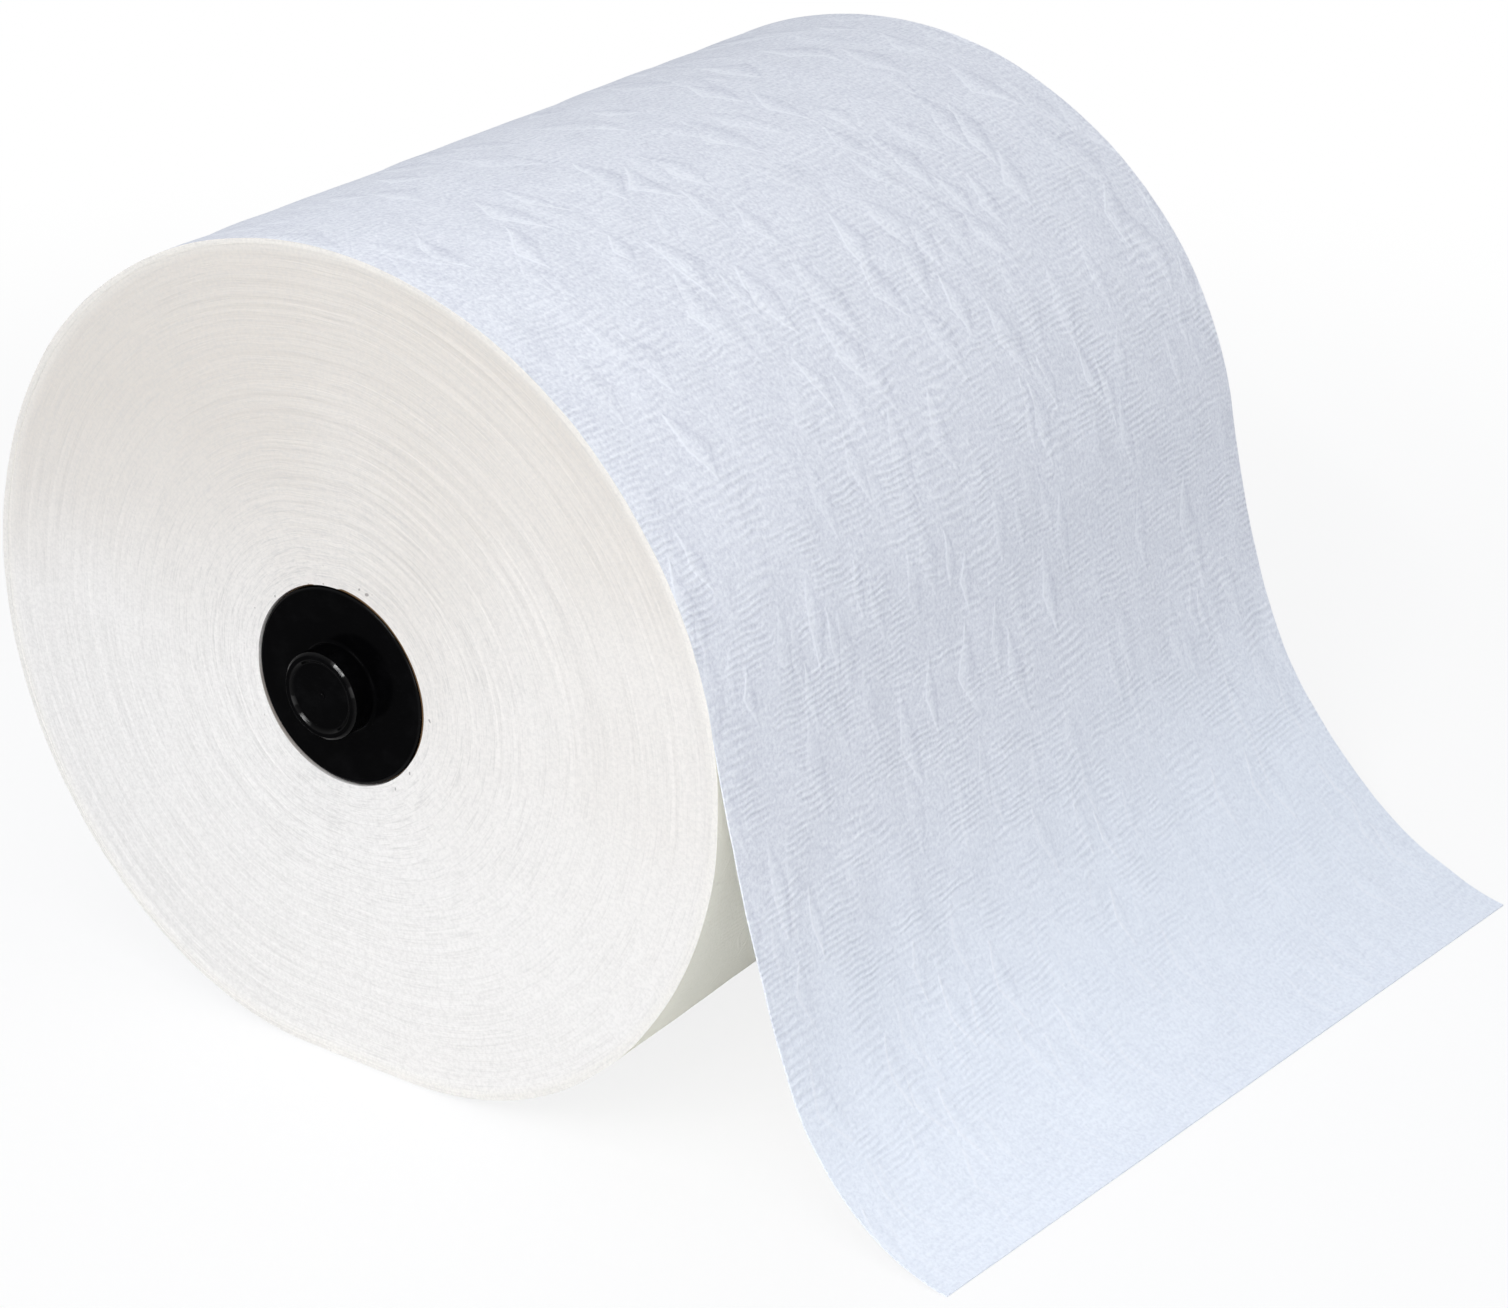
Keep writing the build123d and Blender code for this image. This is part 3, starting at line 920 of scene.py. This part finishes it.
def roundedProfile(corners):
    # each corner of the half section is cut by an arc of its own radius, tangent to both sides
    spots = np.array([corner[:2] for corner in corners])
    radii = np.array([corner[2] for corner in corners])
    before = np.roll(spots, 1, 0) - spots
    after = np.roll(spots, -1, 0) - spots
    before /= np.linalg.norm(before, axis=1, keepdims=True)
    after /= np.linalg.norm(after, axis=1, keepdims=True)
    half = np.arccos(np.clip((before * after).sum(1), -1.0, 1.0)) / 2
    setback = radii / np.tan(half)
    share = np.linspace(0.0, 1.0, plug["cornerSteps"])[None, :, None]
    start = (spots + before * setback[:, None])[:, None, :]
    end = (spots + after * setback[:, None])[:, None, :]
    middle = (before + after) / np.linalg.norm(before + after, axis=1, keepdims=True)
    centre = (spots + middle * (radii / np.sin(half))[:, None])[:, None, :]
    # points on the chord are pushed out from the arc's centre to its radius
    chord = start * (1 - share) + end * share - centre
    length = np.maximum(np.linalg.norm(chord, axis=2, keepdims=True), 1e-9)
    arc = centre + chord / length * radii[:, None, None]
    # one more point on each straight side keeps that side's own slope in the shading
    hold = (plug["cornerHold"] * setback)[:, None, None]
    profile = np.concatenate([start + before[:, None, :] * hold, arc, end + after[:, None, :] * hold], 1)
    spread = np.concatenate([[0.0], share[0, :, 0], [1.0]])
    polish = np.array([np.interp(spread, (0.0, 0.5, 1.0), plug[corner[3]]) for corner in corners])
    return profile.reshape(-1, 2), polish.ravel()


def skirtRibs(end):
    # bars along the skirt, each from the middle of its wall out to the tube, turned evenly round the axis
    angle = np.arange(plug["ribs"]) * fullTurn / plug["ribs"]
    root = plug["skirtRadius"] - plug["wall"] / 2
    back = -plug["recess"] - plug["flangeThickness"]
    out = np.array([0, 1, 1, 0, 0, 1, 1, 0]) * (plug["ribReach"] - root) + root
    aside = (np.array([0, 0, 1, 1, 0, 0, 1, 1]) - 0.5) * plug["ribWidth"]
    deep = np.array([0, 0, 0, 0, 1, 1, 1, 1]) * (plug["skirtLength"] - plug["ribLead"])
    ribX = np.outer(np.cos(angle), out) - np.outer(np.sin(angle), aside)
    ribZ = np.outer(np.sin(angle), out) + np.outer(np.cos(angle), aside) + axisHeight
    ribY = np.broadcast_to(end * (halfWeb + back - deep), ribX.shape)
    sides = np.array([[0, 1, 2, 3], [4, 7, 6, 5], [0, 4, 5, 1], [1, 5, 6, 2], [2, 6, 7, 3], [3, 7, 4, 0]])
    faces = sides[None] + 8 * np.arange(plug["ribs"])[:, None, None]
    return np.stack([ribX, ribY, ribZ], -1).reshape(-1, 3), faces.reshape(-1, 4)


def makePlug(name, end):
    # the rounded half section turned once round the axis, with the ribs
    around = plug["round"]
    profile, polish = roundedProfile(plugCorners())
    radius, height = profile[:, :1], profile[:, 1:]
    angle = np.linspace(0.0, fullTurn, around, endpoint=False)[None, :]
    along = end * (halfWeb + height) + 0 * angle
    points = np.stack([radius * np.cos(angle), along, radius * np.sin(angle) + axisHeight], -1).reshape(-1, 3)
    faces = wrapGrid(len(profile), around)[:-around].tolist()
    caps = [list(range(around)), list(range(len(points) - around, len(points)))]
    bars, barFaces = skirtRibs(end)
    faces += caps + (barFaces + len(points)).tolist()
    piece = makePiece(name, np.concatenate([points, bars]).tolist(), faces, [mouldedBlack], plug["sharpAngle"])
    shine = np.zeros((len(points) + len(bars), 3))
    shine[: len(points), 0] = np.repeat(polish, around)
    addVectors(piece, "rimPolish", shine)
    return piece


frontPlug = makePlug("front_plug", -1)
rearPlug = makePlug("rear_plug", 1)
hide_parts("front_end_plug")
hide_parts("rear_end_plug")
frame["nodes"]["core_tube"].data.materials.clear()
frame["nodes"]["core_tube"].data.materials.append(kraftBoard)
print("plugs made:", len(frontPlug.data.polygons), "faces each")


# Floor, light and camera

studio = {
    "white": (1.0, 1.0, 1.0, 1.0),
    "floorHalf": 3.0,
    "floorDrop": 0.00015,
    "floorColour": (0.93, 0.93, 0.93, 1.0),
    "floorGlow": (0.25, 0.60, 0.84, 1.0),  # share of plain white near the roll and far off, the rest keeps the shadow
    "skyColour": (0.90, 0.955, 1.06, 1.0),
    "skyStrength": 0.36,
}
lamps = [
    # name, place, length and width, watts, direction of the length
    ("keyLamp", (0.24, -0.62, 1.20), (0.8, 0.8), 6.4, (1.0, 0.0, 0.0)),
    ("lowLamp", (0.50, -0.80, 0.12), (0.35, 0.35), 1.5, (1.0, 0.0, 0.0)),
    ("stripLamp", (0.276, -1.036, 0.962), (0.60, 0.026), 4.9, (-0.8, 0.0, 0.6)),
    ("backLamp", (0.12, 1.10, 0.24), (0.5, 0.5), 3.0, (1.0, 0.0, 0.0)),
]


def seenDirectly(tree):
    # 1 for rays from the camera, from glossy surfaces and through glass
    path = addNode(tree, "ShaderNodeLightPath").outputs
    seen = calc(tree, "MAXIMUM", path["Is Camera Ray"], path["Is Glossy Ray"])
    return calc(tree, "MAXIMUM", seen, path["Is Transmission Ray"])


def makeFloor():
    # one square below the roll, which shows part white and part its lit colour, and all white further off
    half, drop = studio["floorHalf"], -studio["floorDrop"]
    corners = [(-half, -half, drop), (half, -half, drop), (half, half, drop), (-half, half, drop)]
    mesh = bpy.data.meshes.new("floor")
    mesh.from_pydata(corners, [], [(0, 1, 2, 3)])
    material = bpy.data.materials.new("paleFloor")
    material.use_nodes = True
    tree = material.node_tree
    tree.nodes.clear()
    inputs = {0: readPlace(tree)}
    distance = addNode(tree, "ShaderNodeVectorMath", inputs, operation="LENGTH").outputs["Value"]
    factor = product(tree, mapSmooth(tree, distance, *studio["floorGlow"]), seenDirectly(tree))
    diffuse = addNode(tree, "ShaderNodeBsdfDiffuse", {"Color": studio["floorColour"]}).outputs[0]
    white = addNode(tree, "ShaderNodeEmission", {"Color": studio["white"], "Strength": 1.0}).outputs[0]
    mixed = addNode(tree, "ShaderNodeMixShader", {0: factor, 1: diffuse, 2: white}).outputs[0]
    addNode(tree, "ShaderNodeOutputMaterial", {"Surface": mixed})
    mesh.materials.append(material)
    floor = bpy.data.objects.new("floor", mesh)
    bpy.context.scene.collection.objects.link(floor)


def makeSky():
    # white where it is seen, and a soft cool light on the object
    world = bpy.data.worlds.new("studioSky")
    world.use_nodes = True
    tree = world.node_tree
    tree.nodes.clear()
    soft = {"Color": studio["skyColour"], "Strength": studio["skyStrength"]}
    light = addNode(tree, "ShaderNodeBackground", soft).outputs[0]
    white = addNode(tree, "ShaderNodeBackground", {"Color": studio["white"], "Strength": 1.0}).outputs[0]
    mixed = addNode(tree, "ShaderNodeMixShader", {0: seenDirectly(tree), 1: light, 2: white}).outputs[0]
    addNode(tree, "ShaderNodeOutputWorld", {"Surface": mixed})
    bpy.context.scene.world = world


def makeLamp(name, place, size, watts, lengthwise):
    # a soft lamp that faces the middle of the roll, with its length turned as near to lengthwise as that lets it
    lamp = bpy.data.lights.new(name, "AREA")
    lamp.shape = "RECTANGLE"
    lamp.size, lamp.size_y = size
    lamp.energy = watts
    back = (Vector(place) - Vector((0, 0, axisHeight))).normalized()
    aside = back.cross(Vector(lengthwise)).normalized()
    length = aside.cross(back)
    holder = bpy.data.objects.new(name, lamp)
    holder.location = place
    holder.rotation_mode = "QUATERNION"
    holder.rotation_quaternion = Matrix((length, aside, back)).transposed().to_quaternion()
    bpy.context.scene.collection.objects.link(holder)


shot = {
    "place": (0.45495, -0.60174, 0.41089),
    "azimuth": 35.097,  # degrees round from the front end, then above level
    "elevation": 25.037,
    "lens": 85.05,  # millimetres, as the sensor's width
    "sensor": 36.0,
    "nearest": 0.01,
}


def makeCamera():
    # it looks along its own azimuth and elevation, level from side to side
    turnAside, tilt = math.radians(shot["azimuth"]), math.radians(shot["elevation"])
    back = Vector((math.sin(turnAside) * math.cos(tilt), -math.cos(turnAside) * math.cos(tilt), math.sin(tilt)))
    camera = bpy.data.cameras.new("camera")
    camera.lens = shot["lens"]
    camera.sensor_width = shot["sensor"]
    camera.clip_start = shot["nearest"]
    holder = bpy.data.objects.new("camera", camera)
    holder.location = shot["place"]
    holder.rotation_mode = "QUATERNION"
    holder.rotation_quaternion = (-back).to_track_quat("-Z", "Y")
    bpy.context.scene.collection.objects.link(holder)
    bpy.context.scene.camera = holder


makeFloor()
makeSky()
for lamp in lamps:
    makeLamp(*lamp)
makeCamera()
bpy.context.scene.view_settings.view_transform = "Standard"
print("floor, light and camera made")
